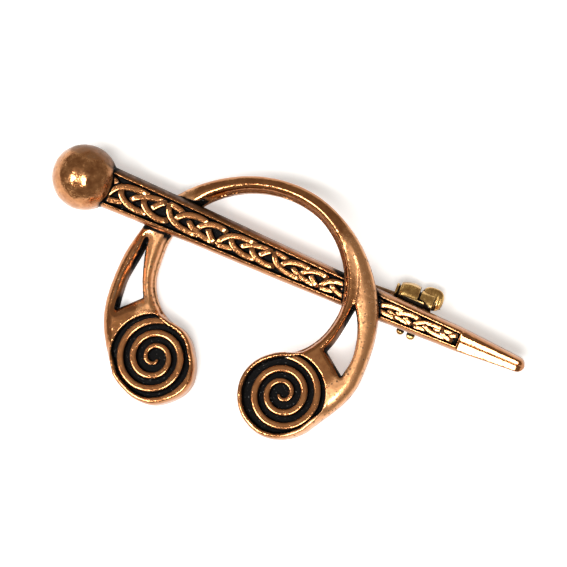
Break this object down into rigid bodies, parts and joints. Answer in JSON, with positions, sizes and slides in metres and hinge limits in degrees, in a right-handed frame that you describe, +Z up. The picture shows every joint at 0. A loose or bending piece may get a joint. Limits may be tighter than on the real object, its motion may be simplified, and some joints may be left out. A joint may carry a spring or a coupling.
{
  "type": "penannular brooch",
  "caption": "Cast penannular brooch with spiral terminals, a ball-headed interlaced bar, and a hinged needle with a roll-over safety catch behind.",
  "frame": {"origin": "centre of the bounding box on the table the brooch lies on", "axes": "+X along the bar from the ball to the tip, +Y towards the closed top of the hoop, +Z up from the table"},
  "size_m": [0.0766, 0.0388, 0.0102],
  "materials": {
    "antiqued_copper": "polished copper plate, antiqued black in the recesses, rubbed bright on the edges",
    "catch_brass": "plain yellow brass, slightly dulled",
    "needle_wire": "drawn steel wire with a faint copper flash"
  },
  "bodies": {
    "brooch": {"brooch_casting": "antiqued_copper", "hinge_bracket": "catch_brass", "hinge_rivet": "catch_brass", "catch_housing": "catch_brass"},
    "needle": {"needle": "needle_wire"},
    "sleeve": {"catch_sleeve": "catch_brass"}
  },
  "joints": [
    {"name": "needle_hinge", "type": "hinge", "parent": "brooch", "child": "needle", "pos_m": [-0.01128, 0.00902, 0.00141], "axis": [-0.0738, 0.9739, 0.2147], "range_deg": [0, 95]},
    {"name": "sleeve_turn", "type": "hinge", "parent": "brooch", "child": "sleeve", "pos_m": [0.01843, 0.01105, 0.00242], "axis": [0.9971, 0.0681, 0.034], "range_deg": [-150, 0]}
  ]
}
